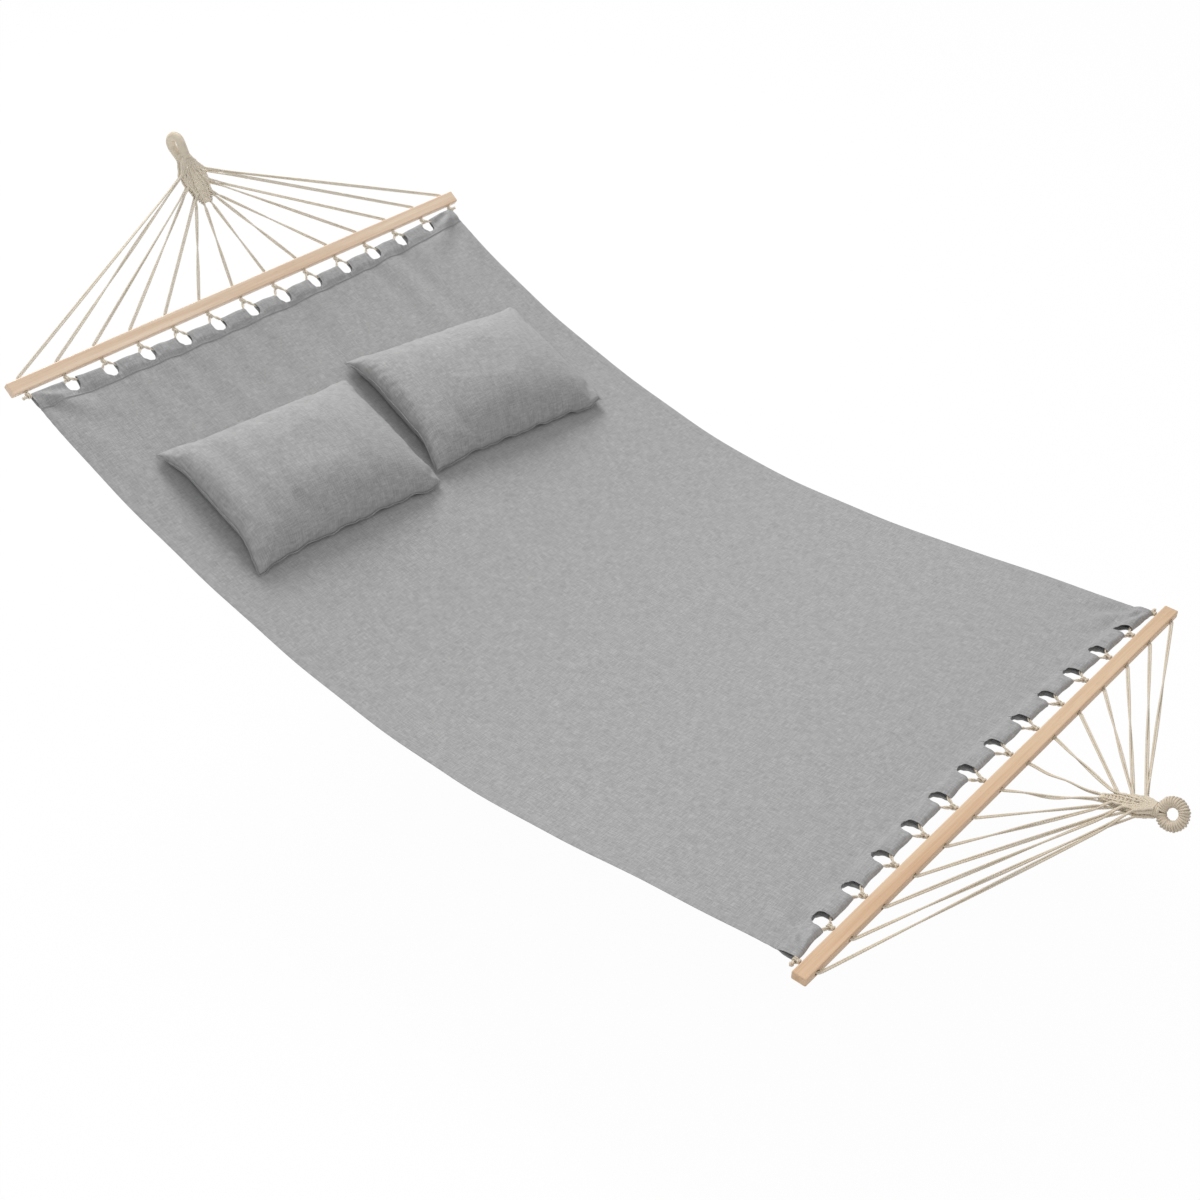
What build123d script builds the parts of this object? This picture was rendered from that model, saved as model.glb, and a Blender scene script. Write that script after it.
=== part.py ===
from build123d import *
import math
import os

# Spreader bar hammock, in millimetres.
# +X runs from the head end to the foot end, +Y across the cloth and +Z up.
# The origin is the point inside the head eye where a hook bears.

# Spreader bars and the bores that the cords pass through
hole_count = 14
hole_pitch = 105
hole_diameter = 12
hole_lead = 1
bar_end_margin = 34
bar_width = 32
bar_thickness = 19
bar_edge_round = 3
head_bar_tilt = 42.3
foot_bar_tilt = -2.5

# Canvas bed: its slope at six stations, evenly spaced from head to foot
cloth_width = 1360
cloth_length = 2220
cloth_thickness = 2
side_hem_width = 22
side_hem_thickness = 3.6
end_run = 90
head_slope = -30.9
middle_slopes = (-20.9, -14.3, -2.4, 5)
foot_slope = 3.3

# Rope tunnel turned over at each end of the cloth, and its notches
corner_gap = 11.5
hem_arch = 21.5
hem_depth = 45
tunnel_depth = 30
tunnel_thickness = 9
tunnel_wall = 1.5
seam_thickness = 2.6
seam_gap = 0.2
notch_width = 35
notch_depth = 33

# Header rope inside the tunnel, and the cord loops that hold it
rope_diameter = 5
rope_inset = 7
rope_tail = 12
rope_bend = 6
loop_bend = 3.5
loop_flat = 4
loop_reach = 14
loop_clearance = 0.25
stopper_diameter = 10

# Clew cords, each doubled through its own bore
cord_diameter = 4
strand_spacing = 4.7
knot_diameter = 8.4
knot_reach = 6.5
mouth_rise = 2.4
mouth_bend = 7
pair_spacing = 4.6
cord_bury = 6

# Woven clew bodies: distance from the throat, width and thickness of each section
head_clew_rise = 53.2
foot_clew_rise = 15
head_clew_length = 330
foot_clew_length = 296
clew_rounding = 0.45
clew_top = 3
head_clew_shoulder = (14, 44, 20)
head_clew_widest = (36, 76, 17)
head_clew_middle = (70, 70, 16)
head_clew_low = (95, 48, 15)
head_clew_end = (118, 24, 11)
head_exits = (38, 68, 94, 110)
foot_clew_shoulder = (10, 34, 19)
foot_clew_widest = (28, 56, 16)
foot_clew_middle = (56, 44, 15)
foot_clew_low = (84, 32, 14)
foot_clew_end = (112, 18, 11)
foot_exits = (30, 54, 80, 100)

# Hanging eyes: a cord bundle under a whipping
eye_diameter = 22.5
whip_diameter = 2.6
whip_clearance = 0.25
head_whip_turns = 20
foot_whip_turns = 22
head_eye_radius = 19
head_eye_centre = 40
head_leg_offset = 10.5
head_whip_start = 5
foot_eye_radius = 23
foot_eye_twist = 33
foot_whip_gap = 62
neck_margin = 6
neck_overlap = 3
neck_reach = 30
neck_diameter = 21
swing_clearance = 0.3

# Pillows: each level of the crown and of the base is an inset and a share of the rise
pillow_crown_levels = ((14, 0.34), (42, 0.68), (86, 0.92), (140, 1))
pillow_base_levels = ((14, 0.6), (40, 1))
pillow_length = 550
pillow_width = 400
pillow_height = 112
pillow_seam_height = 14
pillow_draw_in = 14
pillow_draw_fade = 0.25
pillow_corner = 3
pillow_rounding = 0.3
pillow_wall = 1.5
pillow_edge_wall = 3
pillow_lift = 0.3
filling_clearance = 0.3
left_pillow_place = (510, -284)
right_pillow_place = (523, 284)
left_pillow_turn = -4.5
right_pillow_turn = -7.5

across = Vector(0, 1, 0)


def heading(angle):
    """Unit vector in the XZ plane, at an angle above +X."""
    return Vector(math.cos(math.radians(angle)), 0, math.sin(math.radians(angle)))


def tube(path, diameter):
    """Round tube swept along a path."""
    start = Plane(origin=path @ 0, z_dir=path % 0)
    return sweep(start * Circle(diameter / 2), path=path)


def save(shape, name):
    shape.label = name
    export_step(shape, f"parts/{name}.step")


# Places along the middle of the hammock, found from the head eye to the foot eye
head_out = heading(180 - head_clew_rise)
foot_out = heading(foot_clew_rise)
head_bar_out = heading(180 - head_bar_tilt)
foot_bar_out = heading(foot_bar_tilt)
head_seat = Vector(0, 0, 0)
head_seat_reach = head_eye_centre + head_eye_radius - eye_diameter / 2
foot_eye_centre = foot_eye_radius + eye_diameter / 2
foot_seat_reach = foot_eye_centre + foot_eye_radius - eye_diameter / 2
head_throat = head_seat - head_out * head_seat_reach
head_bar_face = head_throat - head_out * head_clew_length
head_bar_middle = head_bar_face - head_bar_out * (bar_width / 2)
head_hem_start = head_bar_face - head_bar_out * bar_width


def sag():
    """Stretches of the cloth from bar to bar: start point, first and last slope, length."""
    slopes = (head_slope, *middle_slopes, foot_slope)
    run = (cloth_length + 2 * corner_gap - 2 * end_run) / (len(slopes) - 1)
    turns = [(head_slope, head_slope, end_run)]
    turns += [(a, b, run) for a, b in zip(slopes, slopes[1:])]
    turns += [(foot_slope, foot_slope, end_run)]
    stretches = []
    point = head_hem_start
    for first, last, length in turns:
        stretches.append((point, first, last, length))
        point = along(stretches[-1], length)[0]
    return stretches, point


def along(stretch, distance):
    """Point and slope at a distance along one stretch of the cloth."""
    point, first, last, length = stretch
    slope = first + (last - first) * distance / length
    half_turn = math.radians(slope - first) / 2
    chord = distance * (math.sin(half_turn) / half_turn if half_turn else 1)
    return point + heading((first + slope) / 2) * chord, slope


stretches, foot_hem_start = sag()
foot_bar_middle = foot_hem_start + foot_bar_out * (bar_width / 2)
foot_bar_face = foot_hem_start + foot_bar_out * bar_width
foot_throat = foot_bar_face + foot_out * foot_clew_length
foot_seat = foot_throat + foot_out * foot_seat_reach

# End frames: x runs from the bar into the cloth, z is the cloth's upper side
head_end = Plane(origin=head_hem_start, x_dir=heading(head_slope), z_dir=heading(head_slope + 90))
foot_end = Plane(origin=foot_hem_start, x_dir=heading(foot_slope + 180), z_dir=heading(foot_slope + 90))

hole_places = [(i - (hole_count - 1) / 2) * hole_pitch for i in range(hole_count)]
bar_length = (hole_count - 1) * hole_pitch + 2 * bar_end_margin
half_width = cloth_width / 2
hem_radius = (half_width**2 + hem_arch**2) / (2 * hem_arch)
middle_gap = corner_gap + hem_arch


def hem_edge(y):
    """Distance from the bar to the arched outer edge of the hem."""
    return middle_gap - hem_radius + math.sqrt(hem_radius**2 - y**2)


def spreader_bar(middle, outwards):
    """Bar with rounded edges and a row of bores through its width."""
    bar = fillet(Box(bar_width, bar_length, bar_thickness).edges(), bar_edge_round)
    bore = Cylinder(hole_diameter / 2, 2 * bar_width, rotation=(0, 90, 0))
    lead_radius = hole_diameter / 2 + hole_lead
    lead = Cone(hole_diameter / 2, lead_radius, hole_lead, rotation=(0, 90, 0))
    lead_place = (bar_width - hole_lead) / 2
    for y in hole_places:
        bar -= Pos(0, y, 0) * bore
        bar -= Pos(lead_place, y, 0) * lead
        bar -= Pos(-lead_place, y, 0) * Rot(0, 0, 180) * lead
    return Plane(origin=middle, x_dir=outwards, z_dir=outwards.cross(across)) * bar


def sheet(top, bottom, width, middle):
    """Solid between two offsets from the sag, from bar to bar, about a line of constant Y."""
    side = Vector(0, middle - width / 2, 0)
    layers = []
    for offset in (top, bottom):
        edges = []
        for stretch in stretches:
            length = stretch[3]
            spots = [along(stretch, length * share) for share in (0, 0.5, 1)]
            spots = [point + heading(slope + 90) * offset + side for point, slope in spots]
            bent = stretch[1] != stretch[2]
            edges.append(ThreePointArc(*spots) if bent else Line(spots[0], spots[2]))
        layers.append(edges)
    upper, lower = layers
    ends = [Line(upper[0] @ 0, lower[0] @ 0), Line(upper[-1] @ 1, lower[-1] @ 1)]
    return extrude(make_face(upper + lower + ends), amount=width, dir=across)


def end_waste(end):
    """Everything between the bar and the seam where the bed meets the hem."""
    seam = [hem_edge(y) + hem_depth for y in (-half_width, 0, half_width)]
    reach = half_width + side_hem_width
    curve = ThreePointArc((seam[0], -half_width), (seam[1], 0), (seam[2], half_width))
    rest = Polyline(
        (seam[2], half_width), (seam[2], reach), (-hem_depth, reach),
        (-hem_depth, -reach), (seam[0], -reach), (seam[0], -half_width),
    )
    return end * extrude(make_face(curve + rest), amount=hem_depth / 2, both=True)


def bed_cloth():
    """Canvas panel with a turned hem along each side."""
    bed = sheet(cloth_thickness / 2, -cloth_thickness / 2, cloth_width, 0)
    fold = side_hem_thickness / 2
    for side in (-1, 1):
        bed += sheet(fold, -fold, side_hem_width, side * (half_width - side_hem_width / 2))
    return bed - end_waste(head_end) - end_waste(foot_end)


def hem(end):
    """Hollow rope tunnel along the arched end of the cloth, cut into tabs by notches."""
    tunnel_middle = middle_gap + tunnel_depth / 2
    seam_start = middle_gap + tunnel_depth - tunnel_wall
    seam_length = middle_gap + hem_depth - seam_gap - seam_start
    outer = SlotOverall(tunnel_depth, tunnel_thickness)
    hollow = SlotOverall(tunnel_depth - 2 * tunnel_wall, tunnel_thickness - 2 * tunnel_wall)
    seam = Pos(seam_start + seam_length / 2, 0) * Rectangle(seam_length, seam_thickness)
    section = Plane.XZ * (Pos(tunnel_middle, 0) * (outer - hollow) + seam)
    turn = math.degrees(math.asin(half_width / (hem_radius - middle_gap)))
    centre = Axis((middle_gap - hem_radius, 0, 0), (0, 0, 1))
    band = revolve(section, centre, 2 * turn).rotate(centre, -turn)
    band &= Box(4 * hem_depth, cloth_width, 2 * tunnel_thickness)
    for y in hole_places[1:-1]:
        floor = hem_edge(y) + notch_depth - notch_width / 2
        band -= Pos(floor, y, 0) * Cylinder(notch_width / 2, 2 * tunnel_thickness)
        band -= Pos(floor / 2, y, 0) * Box(floor, notch_width, 2 * tunnel_thickness)
    return end * band


def header_rope(end):
    """Rope that runs in the tunnel and is drawn up to a cord loop at each notch."""
    tail = hole_places[-1] + rope_tail
    points = [(loop_reach, -tail)]
    bends = []
    for y in hole_places:
        inner = [side for side in (-1, 1) if abs(y + side * notch_width / 2) < half_width]
        if -1 in inner:
            mouth = y - notch_width / 2
            points += [(hem_edge(mouth) + rope_inset, mouth), (loop_reach, y - loop_flat)]
            bends += [rope_bend, loop_bend]
        if 1 in inner:
            mouth = y + notch_width / 2
            points += [(loop_reach, y + loop_flat), (hem_edge(mouth) + rope_inset, mouth)]
            bends += [loop_bend, rope_bend]
    points.append((loop_reach, tail))
    path = FilletPolyline(*[end.from_local_coords((x, y, 0)) for x, y in points], radius=bends)
    rope = tube(path, rope_diameter)
    for x, y in (points[0], points[-1]):
        rope += Pos(end.from_local_coords((x, y, 0))) * Sphere(stopper_diameter / 2)
    return rope


def clew_frame(throat, outwards):
    """Frame of a clew: x across, z from the throat towards the eye."""
    return Plane(origin=throat, x_dir=across, z_dir=outwards)


head_clew_shape = (head_clew_shoulder, head_clew_widest, head_clew_middle, head_clew_low, head_clew_end)
foot_clew_shape = (foot_clew_shoulder, foot_clew_widest, foot_clew_middle, foot_clew_low, foot_clew_end)


def clew_body(frame, shape, neck_across, neck_deep, seat, reach):
    """Woven body that narrows to the neck of the eye and to the middle cords."""
    sections = [(-clew_top, neck_across, neck_deep), *shape]
    outlines = []
    for distance, width, thickness in sections:
        outline = RectangleRounded(width, thickness, clew_rounding * min(width, thickness))
        outlines.append(frame * Pos(0, 0, -distance) * outline)
    socket = Sphere(reach + neck_margin + swing_clearance)
    return loft(outlines) - Pos(seat) * socket


def clew_half_width(shape, distance):
    """Half the width of the woven body at a distance from the throat."""
    for (near, width, _), (far, next_width, _) in zip(shape, shape[1:]):
        if near <= distance <= far:
            share = (distance - near) / (far - near)
            return (width + (next_width - width) * share) / 2


def strand(knot, mouth, bury, sideways, bore_line, offset):
    """Centre line of one of the two strands of a cord, moved sideways by an offset."""
    lead = (bury - mouth).normalized()
    turned = (sideways - lead * sideways.dot(lead)).normalized()
    first = knot + sideways * offset
    last = bury + turned * offset
    gap = last - first
    mixed = bore_line.dot(lead)
    advance = (gap.dot(bore_line) - gap.dot(lead) * mixed) / (1 - mixed**2)
    corner = first + bore_line * advance
    bend = mouth_bend - offset * math.copysign(1, sideways.dot(lead))
    return FilletPolyline(first, corner, last, radius=bend)


def clew_cord(index, end, shape, exits, bar_face, bar_out, frame):
    """Doubled cord from the woven body through a bore to its knot and loop."""
    y = hole_places[index]
    rank = min(index, hole_count - 1 - index)
    distance = exits[min(rank // 2, len(exits) - 1)]
    layer = pair_spacing / 2 * (1 if rank % 2 else -1)
    side = math.copysign(1, y)
    bury = frame.from_local_coords((side * (clew_half_width(shape, distance) - cord_bury), layer, -distance))
    mouth = bar_face + across * y + bar_out * mouth_rise
    knot = bar_face + across * y - bar_out * (bar_width + knot_reach)
    loop_centre = end.from_local_coords((loop_reach, y if end is head_end else -y, 0))
    cord = Pos(knot) * Sphere(knot_diameter / 2)
    loop_radius = rope_diameter / 2 + loop_clearance + cord_diameter / 2
    cord += Plane(origin=loop_centre, z_dir=across) * Torus(loop_radius, cord_diameter / 2)
    for offset in (-strand_spacing / 2, strand_spacing / 2):
        cord += tube(strand(knot, mouth, bury, across, bar_out, offset), cord_diameter)
    return cord


def eye_frame(throat, outwards, twist):
    """Frame of an eye: x across its loop, y towards its tip, z square to the loop."""
    turn = math.radians(twist)
    flat = outwards.cross(across)
    sideways = flat * math.cos(turn) + across * math.sin(turn)
    return Plane(origin=throat, x_dir=sideways, z_dir=sideways.cross(outwards))


def head_loop_line():
    """Teardrop centre line of the head eye, from leg to leg."""
    foot = Vector(head_leg_offset, 0)
    centre = Vector(0, head_eye_centre)
    span = foot - centre
    lean = math.acos(head_eye_radius / span.length)
    touch_angle = math.atan2(span.Y, span.X) + lean
    touch_x = head_eye_radius * math.cos(touch_angle)
    touch_y = head_eye_centre + head_eye_radius * math.sin(touch_angle)
    return touch_x, touch_y, touch_angle


def head_eye_core(frame):
    """Teardrop loop of bundled cord with a neck rounded about the hook's seat."""
    touch_x, touch_y, _ = head_loop_line()
    tip = head_eye_centre + head_eye_radius
    line = Line((-head_leg_offset, 0), (-touch_x, touch_y))
    line += ThreePointArc((-touch_x, touch_y), (0, tip), (touch_x, touch_y))
    line += Line((touch_x, touch_y), (head_leg_offset, 0))
    loop = tube(frame * line, core_diameter)
    neck_outline = SlotCenterToCenter(head_leg_offset, neck_diameter)
    neck = Pos(0, neck_overlap, 0) * extrude(Plane.XZ * neck_outline, amount=neck_reach)
    return loop + frame * neck & Pos(head_seat) * Sphere(head_seat_reach + neck_margin)


def foot_eye_core(frame):
    """Ring of bundled cord with a neck rounded about the hook's seat."""
    ring = Pos(0, foot_eye_centre, 0) * Torus(foot_eye_radius, core_diameter / 2)
    neck_outline = Plane.XZ * Circle(neck_diameter / 2)
    neck = Pos(0, foot_eye_centre - foot_eye_radius, 0) * extrude(neck_outline, amount=neck_reach)
    return frame * (ring + neck) & Pos(foot_seat) * Sphere(foot_seat_reach + neck_margin)


core_diameter = eye_diameter - 2 * (whip_diameter + whip_clearance)
whip_radius = (eye_diameter - whip_diameter) / 2


def teardrop_at(distance):
    """Point, direction and bend of the head eye's centre line at a distance along it."""
    touch_x, touch_y, touch_angle = head_loop_line()
    leg = math.hypot(touch_x - head_leg_offset, touch_y)
    swept = math.pi - 2 * touch_angle
    arc = head_eye_radius * swept
    rise = Vector(head_leg_offset - touch_x, touch_y) / leg
    if distance < leg:
        return Vector(-head_leg_offset, 0) + rise * distance, rise, 0
    if distance > leg + arc:
        fall = Vector(rise.X, -rise.Y)
        return Vector(touch_x, touch_y) + fall * (distance - leg - arc), fall, 0
    angle = math.pi - touch_angle - (distance - leg) / head_eye_radius
    spot = Vector(math.cos(angle), math.sin(angle))
    centre = Vector(0, head_eye_centre)
    return centre + spot * head_eye_radius, Vector(spot.Y, -spot.X), 1 / head_eye_radius


def ring_at(distance):
    """Point, direction and bend of the foot eye's centre line at a distance along it."""
    angle = -math.pi / 2 - distance / foot_eye_radius
    spot = Vector(math.cos(angle), math.sin(angle))
    centre = Vector(0, foot_eye_centre)
    return centre + spot * foot_eye_radius, Vector(spot.Y, -spot.X), 1 / foot_eye_radius


def coil_at(line_at, start, pitch, turn):
    """Point and direction of the whipping after a number of turns."""
    centre, ahead, bend = line_at(start + pitch * turn)
    angle = 2 * math.pi * turn
    inward = Vector(ahead.Y, -ahead.X)
    square = Vector(0, 0, 1)
    spoke = inward * math.cos(angle) + square * math.sin(angle)
    around = square * math.cos(angle) - inward * math.sin(angle)
    stretch = 1 - bend * whip_radius * math.cos(angle)
    direction = ahead * (pitch * stretch / (2 * math.pi)) + around * whip_radius
    return centre + spoke * whip_radius, direction.normalized()


def biarc(start, start_dir, stop, stop_dir):
    """Two arcs that leave one point and reach another in given directions."""
    gap = stop - start
    both = start_dir + stop_dir
    square = 2 * (1 - start_dir.dot(stop_dir))
    reach = (math.sqrt(gap.dot(both) ** 2 + square * gap.dot(gap)) - gap.dot(both)) / square
    middle = (start + start_dir * reach + stop - stop_dir * reach) / 2
    first = TangentArc(start, middle, tangent=start_dir)
    second = TangentArc(middle, stop, tangent=first % 1)
    return [first, second]


def whipping(frame, line_at, start, stop, turns, name):
    """Cord wound round an eye as one unbroken coil, with a straight run at each end."""
    pitch = (stop - start) / turns
    quarters = 4 * turns
    spots = [coil_at(line_at, start, pitch, n / 4) for n in range(quarters + 1)]
    pieces = [Line(spots[0][0] - spots[0][1] * whip_diameter, spots[0][0])]
    for (here, here_dir), (there, there_dir) in zip(spots, spots[1:]):
        pieces += biarc(here, here_dir, there, there_dir)
    pieces.append(Line(spots[-1][0], spots[-1][0] + spots[-1][1] * whip_diameter))
    samples = 24
    points = [coil_at(line_at, start, pitch, n / samples)[0] for n in range(samples * turns + 1)]
    near = samples * 2 // 3
    gap = min(
        (points[a] - points[b]).length
        for a in range(len(points))
        for b in range(a + near, min(len(points), a + 2 * samples))
    )
    print(f"{name}: least gap between turns {gap - whip_diameter:.2f} mm")
    return tube(frame * Wire(pieces), whip_diameter)


def pillow_outline(length, width, corner, draw_in, height):
    """Plan outline of a pillow: four drawn-in sides and four rounded corners."""
    x, y = width / 2, length / 2
    slack = corner * (1 - math.sqrt(0.5))
    edges = []
    for side in (1, -1):
        edges.append(ThreePointArc(
            (side * x, -side * (y - corner)), (side * (x - draw_in), 0), (side * x, side * (y - corner)),
        ))
        edges.append(ThreePointArc(
            (side * x, side * (y - corner)), (side * (x - slack), side * (y - slack)),
            (side * (x - corner), side * y),
        ))
        edges.append(ThreePointArc(
            (side * (x - corner), side * y), (0, side * (y - draw_in)), (-side * (x - corner), side * y),
        ))
        edges.append(ThreePointArc(
            (-side * (x - corner), side * y), (-side * (x - slack), side * (y - slack)),
            (-side * x, side * (y - corner)),
        ))
    return Pos(0, 0, height) * make_face(edges)


def pillow_body(side_inset, inset):
    """Crowned pillow with a knife edge, smaller by an inset all round."""
    length = pillow_length - 2 * side_inset
    width = pillow_width - 2 * side_inset
    crown = pillow_height - pillow_seam_height - inset
    depth = pillow_seam_height - inset

    def level(shrink, rise):
        rounding = pillow_corner + pillow_rounding * shrink
        draw_in = max(pillow_draw_in - pillow_draw_fade * shrink, 1)
        return pillow_outline(
            length - 2 * shrink, width - 2 * shrink, rounding, draw_in, pillow_seam_height + rise
        )

    seam = level(0, 0)
    upper = [seam] + [level(shrink, share * crown) for shrink, share in pillow_crown_levels]
    lower = [seam] + [level(shrink, -share * depth) for shrink, share in pillow_base_levels]
    return loft(upper) + loft(lower)


def pillow_frame(place, turn):
    """Frame on the cloth at a distance from the head bar, z square to the cloth."""
    distance, y = place
    for stretch in stretches:
        if distance <= stretch[3]:
            break
        distance -= stretch[3]
    point, slope = along(stretch, distance)
    up = heading(slope + 90)
    rise = cloth_thickness / 2 + pillow_lift
    turned = heading(slope) * math.cos(math.radians(turn)) + across * math.sin(math.radians(turn))
    return Plane(origin=point + up * rise + across * y, x_dir=turned, z_dir=up)


def rested(body, rise):
    """Body on the cloth, cut to the cloth's curve at a height above its upper side."""
    return body - sheet(cloth_thickness / 2 + rise, -2 * pillow_height, 2 * cloth_width, 0)


def pillow(place, turn, name):
    frame = pillow_frame(place, turn)
    side_inset, inset = pillow_edge_wall, pillow_wall
    outside = rested(frame * pillow_body(0, 0), pillow_lift)
    cavity = rested(frame * pillow_body(side_inset, inset), pillow_lift + inset)
    side_inset += filling_clearance
    inset += filling_clearance
    filling = rested(frame * pillow_body(side_inset, inset), pillow_lift + inset)
    save(outside - cavity, f"{name}_cover")
    save(filling, f"{name}_filling")


def build_end(name, end, shape, exits, bar_middle, bar_face, bar_out, frame):
    """One end of the hammock between the cloth and the woven body."""
    save(spreader_bar(bar_middle, bar_out), f"{name}_bar")
    save(hem(end), f"{name}_hem")
    save(header_rope(end), f"{name}_header_rope")
    for index in range(hole_count):
        cord = clew_cord(index, end, shape, exits, bar_face, bar_out, frame)
        save(cord, f"{name}_cord_{index + 1:02d}")


os.makedirs("parts", exist_ok=True)
save(bed_cloth(), "bed_cloth")

head_clew = clew_frame(head_throat, head_out)
foot_clew = clew_frame(foot_throat, foot_out)
head_middle = (head_bar_middle, head_bar_face, head_bar_out)
foot_middle = (foot_bar_middle, foot_bar_face, foot_bar_out)
build_end("head", head_end, head_clew_shape, head_exits, *head_middle, head_clew)
build_end("foot", foot_end, foot_clew_shape, foot_exits, *foot_middle, foot_clew)
head_neck = neck_diameter + head_leg_offset
head_body = clew_body(head_clew, head_clew_shape, neck_diameter, head_neck, head_seat, head_seat_reach)
foot_body = clew_body(foot_clew, foot_clew_shape, neck_diameter, neck_diameter, foot_seat, foot_seat_reach)
save(head_body, "head_nexus")
save(foot_body, "foot_nexus")

head_eye = eye_frame(head_throat, head_out, 0)
foot_eye = eye_frame(foot_throat, foot_out, foot_eye_twist)
save(head_eye_core(head_eye), "head_eye_core")
save(foot_eye_core(foot_eye), "foot_eye_core")
touch_x, touch_y, touch_angle = head_loop_line()
leg_length = math.hypot(touch_x - head_leg_offset, touch_y)
head_line_length = 2 * leg_length + head_eye_radius * (math.pi - 2 * touch_angle)
head_stop = head_line_length - head_whip_start
head_coil = whipping(head_eye, teardrop_at, head_whip_start, head_stop, head_whip_turns, "head whipping")
save(head_coil, "head_eye_whipping")
ring_skip = foot_eye_radius * math.radians(foot_whip_gap / 2)
ring_length = foot_eye_radius * 2 * math.pi
ring_stop = ring_length - ring_skip
foot_coil = whipping(foot_eye, ring_at, ring_skip, ring_stop, foot_whip_turns, "foot whipping")
save(foot_coil, "foot_eye_whipping")

pillow(left_pillow_place, left_pillow_turn, "left_pillow")
pillow(right_pillow_place, right_pillow_turn, "right_pillow")

print(f"foot seat at {foot_seat.X:.1f}, {foot_seat.Z:.1f}")
print(f"head bar at {head_bar_middle.X:.1f}, {head_bar_middle.Z:.1f}")
print(f"foot bar at {foot_bar_middle.X:.1f}, {foot_bar_middle.Z:.1f}")
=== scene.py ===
import math

import bpy
import numpy as np
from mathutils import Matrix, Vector

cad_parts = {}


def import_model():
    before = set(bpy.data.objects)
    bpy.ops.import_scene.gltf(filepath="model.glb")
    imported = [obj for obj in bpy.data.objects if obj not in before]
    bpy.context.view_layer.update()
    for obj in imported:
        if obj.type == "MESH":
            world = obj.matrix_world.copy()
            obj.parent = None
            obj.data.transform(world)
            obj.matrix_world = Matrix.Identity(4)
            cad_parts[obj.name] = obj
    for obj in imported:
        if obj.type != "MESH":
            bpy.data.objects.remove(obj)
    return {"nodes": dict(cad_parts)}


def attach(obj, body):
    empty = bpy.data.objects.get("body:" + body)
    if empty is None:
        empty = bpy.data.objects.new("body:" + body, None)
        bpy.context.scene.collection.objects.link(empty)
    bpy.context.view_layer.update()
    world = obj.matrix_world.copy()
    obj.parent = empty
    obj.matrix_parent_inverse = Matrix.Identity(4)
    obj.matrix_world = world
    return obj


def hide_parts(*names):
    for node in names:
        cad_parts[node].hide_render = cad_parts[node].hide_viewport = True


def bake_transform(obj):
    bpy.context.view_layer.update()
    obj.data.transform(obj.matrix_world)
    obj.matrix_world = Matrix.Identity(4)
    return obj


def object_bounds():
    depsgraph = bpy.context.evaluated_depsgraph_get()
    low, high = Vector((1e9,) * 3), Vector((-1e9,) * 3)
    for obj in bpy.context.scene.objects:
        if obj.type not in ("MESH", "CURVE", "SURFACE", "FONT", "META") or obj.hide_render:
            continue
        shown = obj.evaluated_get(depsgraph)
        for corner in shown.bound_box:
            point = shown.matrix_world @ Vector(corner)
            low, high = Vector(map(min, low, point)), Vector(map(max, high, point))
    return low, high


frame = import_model()
cad_box = [list(corner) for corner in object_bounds()]

# Sizes of the object, in metres, the same as in the CAD source
HOLE_COUNT = 14
HOLE_PITCH = 0.105
BAR_WIDTH = 0.032
HEAD_BAR_TILT = 42.3
FOOT_BAR_TILT = -2.5
CLOTH_WIDTH = 1.36
CLOTH_LENGTH = 2.22
SIDE_HEM_WIDTH = 0.022
END_RUN = 0.09
SLOPES = (-30.9, -20.9, -14.3, -2.4, 5, 3.3)
CORNER_GAP = 0.0115
HEM_ARCH = 0.0215
HEM_DEPTH = 0.045
NOTCH_WIDTH = 0.035
NOTCH_DEPTH = 0.033
ROPE_INSET = 0.007
LOOP_REACH = 0.014
STRAND_SPACING = 0.0043
KNOT_REACH = 0.0065
MOUTH_RISE = 0.0024
HEAD_CLEW_RISE = 53.2
FOOT_CLEW_RISE = 15
HEAD_CLEW_LENGTH = 0.330
FOOT_CLEW_LENGTH = 0.296

# Where the cords leave each clew, and its sections: distance from the throat, width and depth
HEAD_EXITS = (0.038, 0.068, 0.094, 0.110)
FOOT_EXITS = (0.030, 0.054, 0.080, 0.100)
HEAD_SECTIONS = (
    (-0.003, 0.021, 0.0315), (0.014, 0.044, 0.020), (0.036, 0.076, 0.017),
    (0.070, 0.070, 0.016), (0.095, 0.048, 0.015), (0.118, 0.024, 0.011),
)
FOOT_SECTIONS = (
    (-0.003, 0.021, 0.021), (0.010, 0.034, 0.019), (0.028, 0.056, 0.016),
    (0.056, 0.044, 0.015), (0.084, 0.032, 0.014), (0.112, 0.018, 0.011),
)

EYE_DIAMETER = 0.0225
HEAD_EYE_RADIUS = 0.019
HEAD_EYE_CENTRE = 0.040
HEAD_LEG_OFFSET = 0.0105
FOOT_EYE_RADIUS = 0.023
FOOT_EYE_TWIST = 33
HEAD_EYE_TWIST = -5
PILLOW_LENGTH = 0.55
PILLOW_WIDTH = 0.40
PILLOW_HEIGHT = 0.112
PILLOW_SEAM = 0.014
PILLOW_LIFT = 0.0003
LEFT_PILLOW = (0.510, -0.284, -4.5)
RIGHT_PILLOW = (0.523, 0.284, -7.5)

# Bent corners of the pillows: side in x, side in y, pull inwards and rise
LEFT_FOLDS = ((1, 1, 0.011, 0.003), (-1, 1, 0.006, 0.008))
RIGHT_FOLDS = ((1, 1, 0.010, 0.009), (-1, -1, 0.003, 0.004))

# Sizes that only the looks need
CLOTH_THICKNESS = 0.0012
SIDE_HEM_THICKNESS = 0.0026
STITCH_ROWS = (0.0192, 0.0025)
STITCH_WIDTH = 0.0009
STITCH_DEPTH = 0.0005
CORD_RADIUS = 0.00215
CORD_STEP = 0.002
CLEW_START = -0.002
NECK_RUN = 0.012
MOUTH_BEND = 0.006
CORD_LAY = 0.016
CORD_PLIES = 3
PLY_HOLLOW = 0.76

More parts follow.
